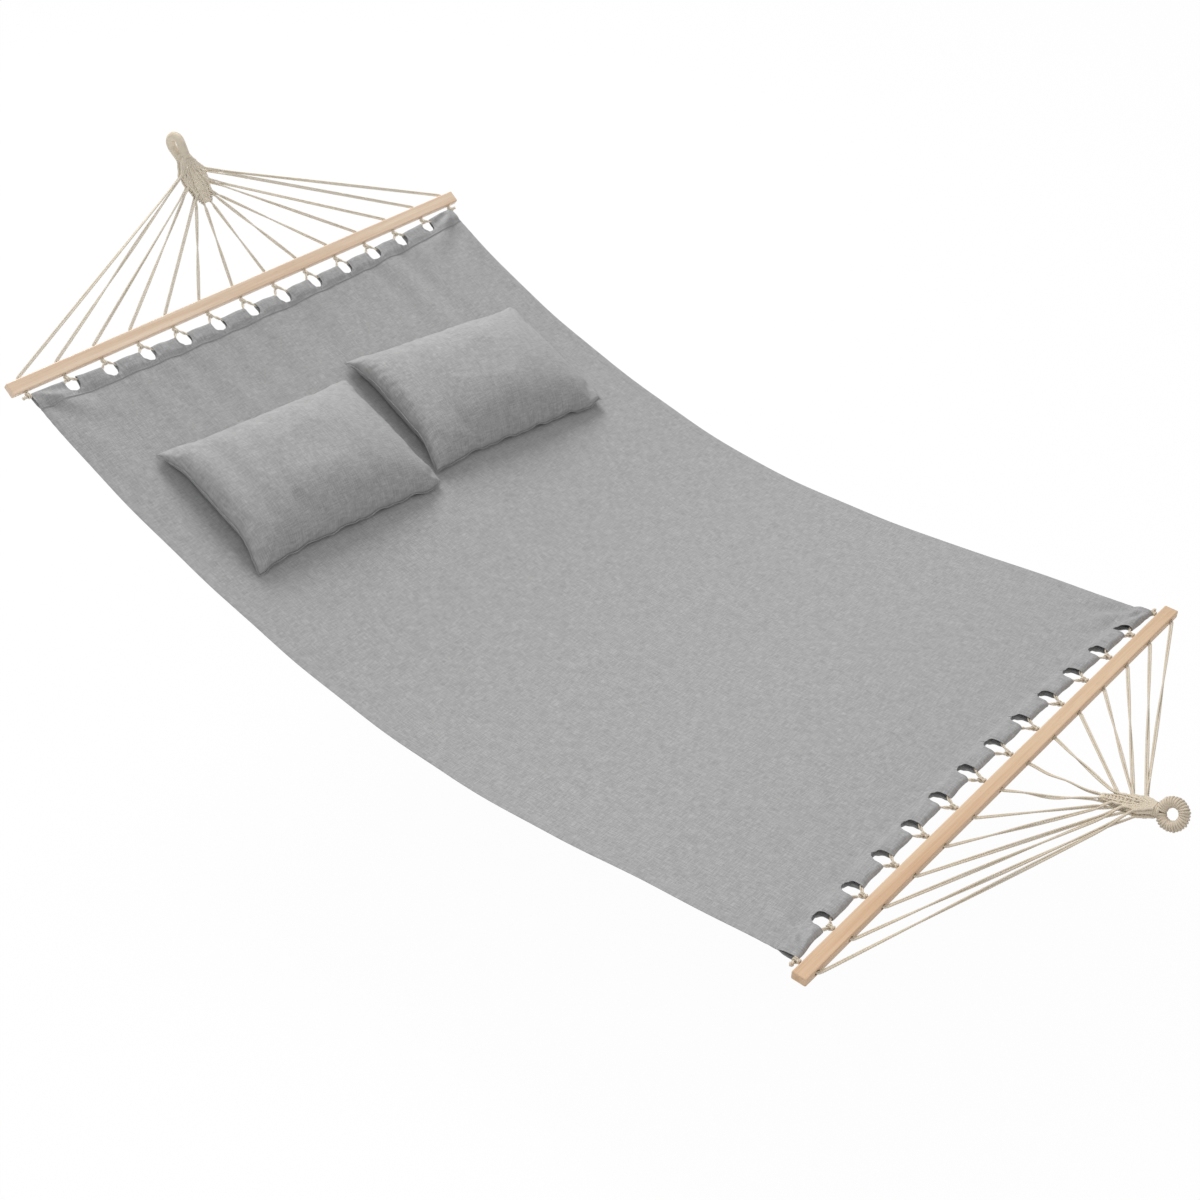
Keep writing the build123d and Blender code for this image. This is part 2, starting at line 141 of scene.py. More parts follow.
# Sag and side wave of the few cords that hang slack
CORD_SLACK = {("foot", 8): (0.007, 0.004), ("foot", 7): (0.004, -0.002), ("foot", 9): (0.002, 0.001)}
KNOT_SIZE = 0.0042
LOOP_RADIUS = 0.0048
ROPE_LAY = 0.042
ROPE_STEP = 0.0024
ROPE_TAIL = 0.012
ROPE_BEND = 0.002
LOOP_SPREAD = 0.004
ROPE_PLY_RADIUS = 0.0020
ROPE_PLY_OFFSET = 0.0018
STRAND_WANDER = 0.0010
WANDER_PITCH = 0.019
WEAVE_DEPTH = 0.0008
WEAVE_PITCH = 0.011
WEFT_STEP = 0.0075
WEFT_DROP = 0.020
BED_STEP = 0.0065
HEM_FULLNESS = 0.0085
HEM_NOSE = 0.0095
HEM_SWELL_RUN = 0.026
HEM_SEAM_HEIGHT = 0.0007
HEM_CLOTH = 0.0011
HEAD_HEM_SHARE = 0.72
EYE_CORD_RADIUS = 0.0008
RING_CORD_RADIUS = 0.0025
EYE_STEP = 0.0006
NECK_SIDES = 28
PILLOW_STEP = 0.0075
PILLOW_DRAW_IN = 0.013
PILLOW_BASE_EDGE = 0.014
PILLOW_SLACK = 0.025
PILLOW_PRESSURE = 1.5
PILLOW_FRAMES = 24
PILLOW_CAP = 0.006
PILLOW_SIDE_LIFT = 0.032
SEAM_RADIUS = 0.0012

# Camera, lamps and floor; a lamp is its place, size and power
CAMERA_PLACE = (3.5873, -2.6186, 1.6752)
CAMERA_YAW = 130.236
CAMERA_PITCH = -35.331
CAMERA_LENS = 54.757
SENSOR = 36
FLOOR_DROP = 0.5
FLOOR_HALF = 30
FLOOR_WHITE = 0.97
SKY_STRENGTH = 0.56
KEY_LAMP = ((-3.0, 2.0, 4.2), 3.2, 365)
FILL_LAMP = ((3.4, -2.6, 2.6), 2.5, 46)
LAMP_TARGET = (1.3, 0, -0.6)

ACROSS = np.array((0.0, 1.0, 0.0))
HALF_WIDTH = CLOTH_WIDTH / 2
HOLES = [(i - (HOLE_COUNT - 1) / 2) * HOLE_PITCH for i in range(HOLE_COUNT)]


def heading(angle):
    """Unit vector in the XZ plane, at an angle in degrees above +X."""
    return np.array((math.cos(math.radians(angle)), 0.0, math.sin(math.radians(angle))))


def unit(v):
    return v / np.linalg.norm(v)


def smooth_step(x):
    x = np.clip(x, 0, 1)
    return x * x * (3 - 2 * x)


# Places along the middle, from the head eye to the foot eye
HEAD_OUT = heading(180 - HEAD_CLEW_RISE)
FOOT_OUT = heading(FOOT_CLEW_RISE)
HEAD_BAR_OUT = heading(180 - HEAD_BAR_TILT)
FOOT_BAR_OUT = heading(FOOT_BAR_TILT)
HEAD_THROAT = -HEAD_OUT * (HEAD_EYE_CENTRE + HEAD_EYE_RADIUS - EYE_DIAMETER / 2)
HEAD_BAR_FACE = HEAD_THROAT - HEAD_OUT * HEAD_CLEW_LENGTH
HEAD_HEM_START = HEAD_BAR_FACE - HEAD_BAR_OUT * BAR_WIDTH
SAG_LENGTH = CLOTH_LENGTH + 2 * CORNER_GAP


def sag_table(count=3000):
    """Distance, place and slope along the cloth from bar to bar."""
    runs = [END_RUN] + [(SAG_LENGTH - 2 * END_RUN) / (len(SLOPES) - 1)] * (len(SLOPES) - 1) + [END_RUN]
    ends = (SLOPES[0], *SLOPES, SLOPES[-1])
    distance = np.linspace(0, SAG_LENGTH, count)
    slope = np.interp(distance, np.concatenate(([0], np.cumsum(runs))), ends)
    middle = np.radians((slope[1:] + slope[:-1]) / 2)
    step = distance[1]
    x = HEAD_HEM_START[0] + np.concatenate(([0], np.cumsum(np.cos(middle) * step)))
    z = HEAD_HEM_START[2] + np.concatenate(([0], np.cumsum(np.sin(middle) * step)))
    return distance, x, z, slope


SAG = sag_table()
FOOT_HEM_START = np.array((SAG[1][-1], 0.0, SAG[2][-1]))
FOOT_BAR_FACE = FOOT_HEM_START + FOOT_BAR_OUT * BAR_WIDTH
FOOT_THROAT = FOOT_BAR_FACE + FOOT_OUT * FOOT_CLEW_LENGTH


def on_cloth(s, y, h):
    """Points at distance s from the head bar, y across, and height h over the middle of the cloth."""
    s, y, h = np.broadcast_arrays(*(np.asarray(v, float) for v in (s, y, h)))
    slope = np.radians(np.interp(s, SAG[0], SAG[3]))
    over = np.where(s < 0, s, np.where(s > SAG_LENGTH, s - SAG_LENGTH, 0))
    x = np.interp(s, SAG[0], SAG[1]) + over * np.cos(slope) - h * np.sin(slope)
    z = np.interp(s, SAG[0], SAG[2]) + over * np.sin(slope) + h * np.cos(slope)
    return np.stack([x, y, z], -1)


HEM_RADIUS = (HALF_WIDTH**2 + HEM_ARCH**2) / (2 * HEM_ARCH)
MIDDLE_GAP = CORNER_GAP + HEM_ARCH


def hem_edge(y):
    """Distance from the bar to the arched outer edge of the hem."""
    return MIDDLE_GAP - HEM_RADIUS + np.sqrt(HEM_RADIUS**2 - np.asarray(y, float) ** 2)


# Mesh helpers
def make_object(name, verts, faces, material, weave=None):
    """Smooth shaded object; weave is where each point lies in the flat canvas."""
    mesh = bpy.data.meshes.new(name)
    mesh.from_pydata(np.asarray(verts).reshape(-1, 3).tolist(), [], faces)
    mesh.update()
    if weave is not None:
        layer = mesh.attributes.new("weave", "FLOAT_VECTOR", "POINT")
        layer.data.foreach_set("vector", np.asarray(weave, np.float32).ravel())
    mesh.shade_smooth()
    obj = bpy.data.objects.new(name, mesh)
    bpy.context.scene.collection.objects.link(obj)
    mesh.materials.append(material)
    return obj


def grid_faces(rows, columns, first=0, wrap=False, flip=False):
    """Quads of a grid of points stored row by row; wrap joins the last column to the first."""
    r, c = np.meshgrid(np.arange(rows - 1), np.arange(columns if wrap else columns - 1), indexing="ij")
    after = (c + 1) % columns
    here, beyond = r * columns, (r + 1) * columns
    quads = np.stack([here + c, here + after, beyond + after, beyond + c], -1)
    quads = quads.reshape(-1, 4) + first
    return (quads[:, ::-1] if flip else quads).tolist()


def tube_faces(rows, sides):
    """Quads round a tube stored ring by ring, and a face at each end."""
    ends = [list(range(sides))[::-1], [(rows - 1) * sides + i for i in range(sides)]]
    return grid_faces(rows, sides, wrap=True) + ends


def tangents(points):
    ahead = np.gradient(points, axis=0)
    return ahead / np.linalg.norm(ahead, axis=1)[:, None]


def run_along(points):
    """Distance of each point from the first, measured along the line."""
    return np.concatenate(([0], np.cumsum(np.linalg.norm(np.diff(points, axis=0), axis=1))))


def path_frames(points):
    """Tangents and two steady cross directions along a line of points."""
    ahead = tangents(np.asarray(points, float))
    start = np.array((0.0, 0.0, 1.0)) if abs(ahead[0][2]) < 0.9 else np.array((1.0, 0.0, 0.0))
    side = unit(np.cross(ahead[0], start))
    sides = [side]
    for t in ahead[1:]:
        side = unit(side - t * side.dot(t))
        sides.append(side)
    sides = np.array(sides)
    return ahead, sides, np.cross(ahead, sides)


def resample(points, step):
    """The same line with evenly spaced points."""
    points = np.asarray(points, float)
    length = run_along(points)
    count = max(int(round(length[-1] / step)) + 1, 4)
    at = np.linspace(0, length[-1], count)
    return np.stack([np.interp(at, length, points[:, k]) for k in range(3)], -1)


def rounded(points, rounds=2):
    """Chaikin corner cutting that keeps both ends."""
    points = np.asarray(points, float)
    for _ in range(rounds):
        cut = np.empty((2 * len(points) - 2, 3))
        cut[0::2] = points[:-1] * 0.75 + points[1:] * 0.25
        cut[1::2] = points[:-1] * 0.25 + points[1:] * 0.75
        cut[0], cut[-1] = points[0], points[-1]
        points = cut
    return points


class Parts:
    """Collects tubes and grids into one mesh."""

    def __init__(self):
        self.verts, self.faces, self.count = [], [], 0

    def add(self, verts, faces):
        verts = np.asarray(verts).reshape(-1, 3)
        self.verts.append(verts)
        self.faces += [[i + self.count for i in face] for face in faces]
        self.count += len(verts)

    def tube(self, points, radius, sides=8, plies=None, phase=0.0):
        """Tube along points; with plies it is a twisted cord of that many."""
        points = np.asarray(points, float)
        _, u, v = path_frames(points)
        rows = len(points)
        run = run_along(points)
        radius = np.broadcast_to(radius, (rows,))[:, None]
        if plies:
            profile = np.tile((PLY_HOLLOW, 1.0, 1.0), plies)
            sides = len(profile)
            angle = 2 * np.pi * np.arange(sides) / sides + 2 * np.pi * run[:, None] / CORD_LAY + phase
        else:
            profile = np.ones(sides)
            angle = np.broadcast_to(2 * np.pi * np.arange(sides) / sides, (rows, sides))
        reach = radius * profile
        ring = (
            points[:, None]
            + u[:, None] * (np.cos(angle) * reach)[..., None]
            + v[:, None] * (np.sin(angle) * reach)[..., None]
        )
        self.add(ring, tube_faces(rows, sides))

    def build(self, name, material, weave=False):
        """The collected object; with weave it takes the canvas pattern from its places."""
        verts = np.concatenate(self.verts)
        return make_object(name, verts, self.faces, material, weave=verts if weave else None)


# Materials
def new_material(name, base, roughness):
    material = bpy.data.materials.new(name)
    material.use_nodes = True
    tree = material.node_tree
    shader = tree.nodes["Principled BSDF"]
    shader.inputs["Base Color"].default_value = (*base, 1)
    shader.inputs["Roughness"].default_value = roughness
    return material, tree, shader


def node(tree, kind, **values):
    """New node with its inputs and settings given by name."""
    made = tree.nodes.new(kind)
    for key, value in values.items():
        if key in made.inputs:
            made.inputs[key].default_value = value
        else:
            setattr(made, key, value)
    return made


def noise(tree, vector, scale, stretch=(1, 1, 1), detail=3.0, roughness=0.6):
    """Noise of a given scale, stretched along the axes."""
    mapping = node(tree, "ShaderNodeMapping")
    mapping.inputs["Scale"].default_value = stretch
    tree.links.new(vector, mapping.inputs["Vector"])
    made = node(tree, "ShaderNodeTexNoise", Scale=scale, Detail=detail, Roughness=roughness)
    tree.links.new(mapping.outputs["Vector"], made.inputs["Vector"])
    return made.outputs["Fac"]


def ramp(tree, value, stops):
    """Colour ramp from (place, colour) stops."""
    made = node(tree, "ShaderNodeValToRGB")
    elements = made.color_ramp.elements
    while len(elements) < len(stops):
        elements.new(0.5)
    for element, (place, colour) in zip(elements, stops):
        element.position = place
        element.color = (*colour, 1)
    tree.links.new(value, made.inputs["Fac"])
    return made.outputs["Color"]


def maths(tree, operation, a, b):
    """Sum, product or greater of two numbers or outputs."""
    made = node(tree, "ShaderNodeMath", operation=operation)
    for socket, value in zip(made.inputs, (a, b)):
        if isinstance(value, (int, float)):
            socket.default_value = value
        else:
            tree.links.new(value, socket)
    return made.outputs[0]


def multiplied(tree, a, b):
    """Product of two colours."""
    made = node(tree, "ShaderNodeMix", data_type="RGBA", blend_type="MULTIPLY")
    made.inputs[0].default_value = 1.0
    tree.links.new(a, made.inputs[6])
    tree.links.new(b, made.inputs[7])
    return made.outputs[2]


def bump(tree, shader, height, distance, strength):
    made = node(tree, "ShaderNodeBump", Strength=strength, Distance=distance)
    tree.links.new(height, made.inputs["Height"])
    tree.links.new(made.outputs["Normal"], shader.inputs["Normal"])


def grey(value):
    return (value, value, value)


def canvas_material():
    """Heathered mid grey canvas: plain weave, slubs both ways and soft mottling."""
    material, tree, shader = new_material("grey_canvas", grey(0.4), 0.95)
    weave = node(tree, "ShaderNodeAttribute", attribute_name="weave").outputs["Vector"]
    warp_slubs = noise(tree, weave, 1.0, (42, 440, 1), 4)
    weft_slubs = noise(tree, weave, 1.0, (440, 42, 1), 4)
    specks = noise(tree, weave, 1.0, (340, 340, 1), 2)
    mottle = noise(tree, weave, 1.0, (22, 22, 1), 3)
    slubs = [maths(tree, "MULTIPLY", each, 0.4) for each in (warp_slubs, weft_slubs)]
    yarns = maths(tree, "ADD", *slubs)
    mixture = maths(tree, "ADD", yarns, maths(tree, "MULTIPLY", specks, 0.2))
    colour = ramp(tree, mixture, [(0.33, grey(0.240)), (0.5, grey(0.345)), (0.65, grey(0.485))])
    shade = ramp(tree, mottle, [(0.3, grey(0.93)), (0.7, grey(1.0))])
    colour = multiplied(tree, colour, shade)
    tree.links.new(colour, shader.inputs["Base Color"])
    threads = []
    for axis in ("X", "Y"):
        wave = node(
            tree, "ShaderNodeTexWave", wave_type="BANDS", bands_direction=axis,
            Scale=175.0, Distortion=0.35, Detail=1.0,
        )
        tree.links.new(weave, wave.inputs["Vector"])
        threads.append(wave.outputs["Fac"])
    height = maths(tree, "MULTIPLY", *threads)
    height = maths(tree, "ADD", height, maths(tree, "MULTIPLY", mixture, 1.2))
    bump(tree, shader, height, 0.0006, 0.6)
    shader.inputs["Sheen Weight"].default_value = 0.12
    shader.inputs["Sheen Roughness"].default_value = 0.6
    shader.inputs["Specular IOR Level"].default_value = 0.2
    return material


def cord_material(name, base, dark):
    """Undyed cotton: fine fibres in a lighter and a darker tone, and soft patches."""
    material, tree, shader = new_material(name, base, 0.9)
    place = node(tree, "ShaderNodeTexCoord").outputs["Object"]
    fibres = noise(tree, place, 900.0)
    patches = noise(tree, place, 60.0)
    colour = ramp(tree, fibres, [(0.3, dark), (0.62, base)])
    shade = ramp(tree, patches, [(0.3, grey(0.9)), (0.7, grey(1.0))])
    tree.links.new(multiplied(tree, colour, shade), shader.inputs["Base Color"])
    bump(tree, shader, fibres, 0.0005, 0.5)
    shader.inputs["Sheen Weight"].default_value = 0.1
    shader.inputs["Specular IOR Level"].default_value = 0.2
    return material


def beech_material(name, tone):
    """Beech of a given tone: long fine grain along the bar with short dark flecks."""
    material, tree, shader = new_material(name, (0.71, 0.55, 0.40), 0.5)
    place = node(tree, "ShaderNodeTexCoord").outputs["Object"]
    bands = noise(tree, place, 1.0, (55, 1.6, 55), 3, 0.5)
    grain = noise(tree, place, 1.0, (420, 9, 420), 4, 0.6)
    flecks = noise(tree, place, 1.0, (900, 60, 900), 2, 0.5)
    browns = [(0.32, (0.66, 0.485, 0.34)), (0.52, (0.735, 0.58, 0.435)), (0.7, (0.79, 0.65, 0.505))]
    toned = [(at, tuple(c * t for c, t in zip(brown, tone))) for at, brown in browns]
    colour = ramp(tree, bands, toned)
    shade = ramp(tree, grain, [(0.3, (0.90, 0.86, 0.82)), (0.6, (1.0, 1.0, 1.0))])
    colour = multiplied(tree, colour, shade)
    fleck = ramp(tree, flecks, [(0.66, (1, 1, 1)), (0.74, (0.80, 0.70, 0.60))])
    colour = multiplied(tree, colour, fleck)
    tree.links.new(colour, shader.inputs["Base Color"])
    bump(tree, shader, grain, 0.0003, 0.35)
    shader.inputs["Coat Weight"].default_value = 0.06
    return material


CANVAS = canvas_material()
COTTON = {
    "head": cord_material("pale_cotton", (0.90, 0.82, 0.69), (0.77, 0.69, 0.56)),
    # the foot copy is the same cotton made darker and browner: painted shade for the foot end
    "foot": cord_material("cotton_painted_foot_shade", (0.76, 0.67, 0.54), (0.58, 0.50, 0.385)),
}
WHIPPING = {
    "head": cord_material("pale_whipping", (0.90, 0.82, 0.69), (0.74, 0.66, 0.53)),
    # the foot copy is the same whipping made darker and browner: painted shade for the foot end
    "foot": cord_material("whipping_painted_foot_shade", (0.71, 0.62, 0.50), (0.50, 0.42, 0.32)),
}
PALE_BEECH = beech_material("pale_beech", (1.07, 1.06, 1.07))
# the foot bar's beech is the same wood toned darker and browner: painted shade for the foot end
BEECH_PAINTED_FOOT_SHADE = beech_material("beech_painted_foot_shade", (0.85, 0.76, 0.66))


# Folds of the cloth
def wave_noise(s, y, seed, cells, stretch):
    """Smooth repeatable noise from a few crossing waves."""
    rng = np.random.default_rng(seed)
    total = np.zeros(np.broadcast(s, y).shape)
    for _ in range(cells):
        angle = rng.uniform(-0.5, 0.5)
        along, over = math.sin(angle) / stretch, math.cos(angle)
        size = rng.uniform(0.7, 1.6)
        total += np.sin(size * (over * y + along * s) + rng.uniform(0, 2 * np.pi))
    return total / math.sqrt(cells)


def corner_gathers(d, y, side, ridges, reach, height):
    """Ridges that fan out from one corner of the cloth."""
    along, over = d - CORNER_GAP, (HALF_WIDTH - side * y)
    far = np.hypot(along, over) + 1e-6
    angle = np.arctan2(over, along)
    fade = smooth_step((far - 0.012) / 0.03) * (1 - smooth_step((far - 0.35 * reach) / (0.65 * reach)))
    wander = 0.5 * np.sin(far / reach * 5 + side)
    return height * fade * np.sin(ridges * angle * 2 + wander)


def cloth_relief(s, y):
    """Height of the cloth's soft folds over its even sag."""
    head, foot = s, SAG_LENGTH - s
    ends = 0.4 + np.exp(-head / 0.35) + 0.4 * np.exp(-foot / 0.25)
    relief = 0.0008 * wave_noise(s, y * 30, 3, 9, 12) * ends
    relief += 0.0052 * wave_noise(s, y * 44, 5, 7, 20) * smooth_step(head / 0.1) * np.exp(-head / 0.4)
    relief += 0.0011 * wave_noise(s, y * 85, 8, 7, 14) * np.exp(-np.minimum(head, foot) / 0.12)
    pull = np.cos(2 * np.pi * y / HOLE_PITCH + 0.8 * np.sin(y * 9))
    relief += 0.0019 * pull * np.exp(-np.minimum(head, foot) / 0.06)
    inside = HALF_WIDTH - np.abs(y)
    for side in (-1, 1):
        relief += corner_gathers(head, y, side, ridges=4.2, reach=0.26, height=0.0040)
        relief += corner_gathers(foot, y, side, ridges=5.0, reach=0.22, height=0.0042)
    return relief * (0.25 + 0.75 * smooth_step(inside / 0.05))


def side_wander(s, y):
    """How far the cloth's long edges stray from straight."""
    share = np.abs(y) / HALF_WIDTH
    shift = 0.0012 * np.sin(s * 9 + 1.3) + 0.0008 * np.sin(s * 23 + y)
    shift = shift + 0.0058 * np.exp(-(((s - 1.65) / 0.38) ** 2))
    shift = shift - 0.0040 * np.exp(-(((s - 0.70) / 0.25) ** 2))
    near_end = np.exp(-np.minimum(s, SAG_LENGTH - s) / 0.06)
    shift = shift * (1 - near_end) + near_end * 0.0012 * np.sin(s * 260)
    return np.sign(y) * share**6 * shift


def cloth_point(s, y, h):
    """Point of the folded cloth, h over its middle."""
    return on_cloth(s, y + side_wander(s, y), h + cloth_relief(s, y))


def bed_cloth():
    """The canvas panel: two faces, turned side hems and rounded edges."""
    edge_columns = np.array((0.0, 0.0006, 0.002, 0.006, 0.011, 0.016, 0.020, 0.0215, 0.0228, 0.025))
    inner = HALF_WIDTH - edge_columns[-1]
    middle = np.linspace(-inner, inner, int(2 * inner / BED_STEP))
    y = np.concatenate([edge_columns - HALF_WIDTH, middle[1:-1], (HALF_WIDTH - edge_columns)[::-1]])
    rows = int(SAG_LENGTH / BED_STEP)
    share = np.linspace(0, 1, rows)[:, None]
    first = (hem_edge(y) + HEM_DEPTH)[None]
    s = first + (SAG_LENGTH - 2 * first) * share
    y = np.broadcast_to(y[None], s.shape)
    inside = HALF_WIDTH - np.abs(y)
    turned = 1 - smooth_step((inside - SIDE_HEM_WIDTH + 0.0008) / 0.0016)
    half = (CLOTH_THICKNESS + (SIDE_HEM_THICKNESS - CLOTH_THICKNESS) * turned) / 2
    puff = 0.0004 * np.sin(np.pi * np.clip(inside / SIDE_HEM_WIDTH, 0, 1))
    half = (half + puff) * np.sqrt(np.clip(inside / 0.0011, 0, 1) * 0.9 + 0.1)
    stitched = STITCH_DEPTH * sum(np.exp(-((inside - row) / STITCH_WIDTH) ** 2) for row in STITCH_ROWS)
    top = cloth_point(s, y, half - stitched)
    low = cloth_point(s, y, -half + stitched)
    count, columns = s.shape
    faces = grid_faces(count, columns, flip=True) + grid_faces(count, columns, first=count * columns)
    under = count * columns
    for r in range(count - 1):
        for c, flip in ((0, False), (columns - 1, True)):
            a, b = r * columns + c, (r + 1) * columns + c
            quad = [a, b, b + under, a + under]
            faces.append(quad[::-1] if flip else quad)
    for c in range(columns - 1):
        for r, flip in ((0, True), (count - 1, False)):
            a, b = r * columns + c, r * columns + c + 1
            quad = [a, b, b + under, a + under]
            faces.append(quad[::-1] if flip else quad)
    weave = np.stack([s, y, np.zeros_like(s)], -1).reshape(-1, 3)
    verts = np.concatenate([top.reshape(-1, 3), low.reshape(-1, 3)])
    return make_object("bed_cloth_dressed", verts, faces, CANVAS, weave=np.concatenate([weave, weave]))


def notch_gap(reach):
    """Half the width of a notch at a distance in from the hem's outer edge."""
    straight = NOTCH_DEPTH - NOTCH_WIDTH / 2
    past = np.clip((reach - straight) / (NOTCH_WIDTH / 2), 0, 1)
    return NOTCH_WIDTH / 2 * np.sqrt(1 - past**2)


def hem_section():
    """Rows across the tunnel: distance in from the outer edge, height, from seam to seam."""
    straight = NOTCH_DEPTH - NOTCH_WIDTH / 2
    floor = [straight + NOTCH_WIDTH / 2 * math.sin(a) for a in np.linspace(0, np.pi / 2, 11)[1:]]
    seam = [HEM_DEPTH, HEM_DEPTH - 0.0008, HEM_DEPTH - 0.0025, 0.040, 0.037]
    reach = np.array([*seam, *floor[::-1], straight, 0.0125, HEM_NOSE])
    height = HEM_FULLNESS * np.sin(np.pi / 2 * smooth_step((HEM_DEPTH - reach) / HEM_SWELL_RUN)) ** 0.8
    height = np.maximum(height, HEM_SEAM_HEIGHT)
    height[0] = -0.0001
    turn = np.linspace(0, np.pi, 13)[1:-1]
    nose = np.stack([HEM_NOSE - HEM_NOSE * np.sin(turn), HEM_FULLNESS * np.cos(turn)], -1)
    top = np.stack([reach, height], -1)
    low = np.stack([reach[::-1], -height[::-1]], -1)
    return np.concatenate([top, nose, low])


def hem(name, at_head):
    """Rope tunnel of one end: full soft tabs with open ends between the notches."""
    section = hem_section()
    reach, rise = section[:, :1], section[:, 1:]
    swell, rows = np.abs(rise) / HEM_FULLNESS, len(section)
    bounds = [-HALF_WIDTH, *HOLES[1:-1], HALF_WIDTH]
    verts, faces, weave, count = [], [], [], 0
    rng = np.random.default_rng(7 if at_head else 11)
    for number, (left, right) in enumerate(zip(bounds, bounds[1:])):
        columns = max(int((right - left) / 0.0028), 12)
        turn = np.pi * np.linspace(0, 1, columns)
        across = 0.5 - 0.5 * np.cos(turn) * (0.55 + 0.45 * np.abs(np.cos(turn)))
        gap = notch_gap(reach)
        low = left + gap * (number > 0)
        high = right - gap * (number < len(bounds) - 2)
        y = low + (high - low) * across[None]
        from_end = np.minimum(y - low, high - y)
        full = 0.78 + 0.22 * smooth_step(from_end / 0.02)
        phase = rng.uniform(0, 2 * np.pi, 4)
        crinkle = np.exp(-from_end / 0.014) * np.sin(y * 520 + phase[0]) * 0.55
        crinkle += 0.35 * np.sin(y * 260 + phase[1] + reach * 60) * np.exp(-from_end / 0.03)
        crinkle += 0.3 * np.sin(y * 120 + phase[2])
        lift = rise * full * (HEAD_HEM_SHARE if at_head else 1.0)
        lift += 0.0019 * crinkle * swell * np.sign(rise)
        lift += 0.0006 * np.sin(y * 640 + phase[0]) * np.exp(-(((reach - 0.039) / 0.004) ** 2)) * np.sign(rise)
        d = hem_edge(y) + 0.0012 * np.sin(y * 90 + phase[3]) * swell + reach
        s = d if at_head else SAG_LENGTH - d
        verts.append(on_cloth(s, y, lift + cloth_relief(s, y)).reshape(-1, 3))
        weave.append(np.stack([s, y, np.broadcast_to(np.sign(rise), y.shape)], -1).reshape(-1, 3))
        faces += grid_faces(rows, columns, first=count, flip=at_head)
        count += rows * columns
    obj = make_object(name, np.concatenate(verts), faces, CANVAS, weave=np.concatenate(weave))
    solid = obj.modifiers.new("cloth", "SOLIDIFY")
    solid.thickness = HEM_CLOTH
    solid.offset = -1
    return obj


bed = bed_cloth()
head_hem = hem("head_hem_dressed", True)
foot_hem = hem("foot_hem_dressed", False)
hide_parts("bed_cloth")
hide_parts("head_hem")
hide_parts("foot_hem")
for piece in (bed, head_hem, foot_hem):
    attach(piece, "hammock")


# Clews: each strand starts on the woven body, leaves it at its exit and runs through its bore
class End:
    """Places and directions of one end of the hammock."""

    def __init__(self, name, throat, out, bar_face, bar_out, sections, exits, front):
        self.name, self.throat, self.out = name, throat, out
        self.bar_face, self.bar_out, self.exits = bar_face, bar_out, exits
        self.at_head = name == "head"
        self.layer = np.cross(out, ACROSS) * front
        self.distances = np.array([row[0] for row in sections])
        self.widths = np.array([row[1] for row in sections]) / 2
        self.depths = np.array([row[2] for row in sections]) / 2

    def half_width(self, t):
        return np.interp(t, self.distances, self.widths)

    def half_depth(self, t):
        return np.interp(t, self.distances, self.depths)

    def at(self, t, x, w):
        """Point at distance t from the throat, x across and w towards the seen side."""
        t, x, w = np.broadcast_arrays(*(np.asarray(v, float) for v in (t, x, w)))
        return self.throat - t[..., None] * self.out + x[..., None] * ACROSS + w[..., None] * self.layer

    def on_rope(self, d, y, h=0.0):
        """Point at distance d from the bar along the cloth's end, y across."""
        return on_cloth(d if self.at_head else SAG_LENGTH - d, y, h)


HEAD = End("head", HEAD_THROAT, HEAD_OUT, HEAD_BAR_FACE, HEAD_BAR_OUT, HEAD_SECTIONS, HEAD_EXITS, -1)
FOOT = End("foot", FOOT_THROAT, FOOT_OUT, FOOT_BAR_FACE, FOOT_BAR_OUT, FOOT_SECTIONS, FOOT_EXITS, 1)


def bend_at_clew(obj):
    """Bakes the placement of a clew piece into its mesh."""
    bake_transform(obj)


def strand_line(end, index, face, facts):
    """Centre line of one strand, from the neck of the clew to the knot behind the bar."""
    rank = min(index, HOLE_COUNT - 1 - index)
    leave = end.exits[rank // 2]
    y = HOLES[index]
    side = math.copysign(1, y)
    middle = (HOLE_COUNT - 1) / 2
    t = np.linspace(CLEW_START, leave, max(int(leave / 0.004), 5))
    goal = side * (0.90 - 0.07 * (rank % 2)) if rank < 6 else side * 0.5
    share = (index - middle) / (middle + 0.6)
    share = share + (goal - share) * smooth_step((t - 0.008) / max(leave - 0.008, 0.01))
    ripple = WEAVE_DEPTH * np.sin(2 * np.pi * t / WEAVE_PITCH + np.pi * (index + (face > 0)))
    w = face * (end.half_depth(t) * 0.93 + ripple * smooth_step(t / NECK_RUN))
    wander = STRAND_WANDER * np.sin(2 * np.pi * t / WANDER_PITCH + np.pi * index) * smooth_step(t / NECK_RUN)
    body = end.at(t, share * end.half_width(t) + wander, w)
    mouth = end.bar_face + ACROSS * y + end.bar_out * MOUTH_RISE
    knot = end.bar_face + ACROSS * y - end.bar_out * (BAR_WIDTH + KNOT_REACH * 0.4)
    centre = end.at(leave, goal * end.half_width(leave), 0)
    along = np.linspace(0, 1, 26)[1:]
    ahead = unit(mouth - centre)
    first = unit(ACROSS - ahead * ahead.dot(ACROSS))
    second = np.cross(ahead, first)
    turn = facts["turn"] * np.pi * (1 - smooth_step(along))
    offset = face * STRAND_SPACING / 2
    twist = (first[None] * np.cos(turn)[:, None] + second[None] * np.sin(turn)[:, None]) * offset
    slack = facts["slack"] * np.sin(np.pi * along) ** 2
    slack = slack + facts["wave"] * np.sin(3 * np.pi * along) * np.sin(np.pi * along)
    straight = centre + (mouth - centre) * along[:, None]
    straight = straight + np.array((0, 0, -1.0)) * slack[:, None]
    settle = smooth_step(along / 0.12)[:, None]
    run = body[-1] + (mouth - body[-1]) * along[:, None]
    run = run * (1 - settle) + (straight + twist) * settle
    corner = run[-1] - end.bar_out * MOUTH_BEND
    back = knot + ACROSS * offset * 0.6
    return resample(rounded(np.concatenate([body, run, [corner, back]]), 2), CORD_STEP)


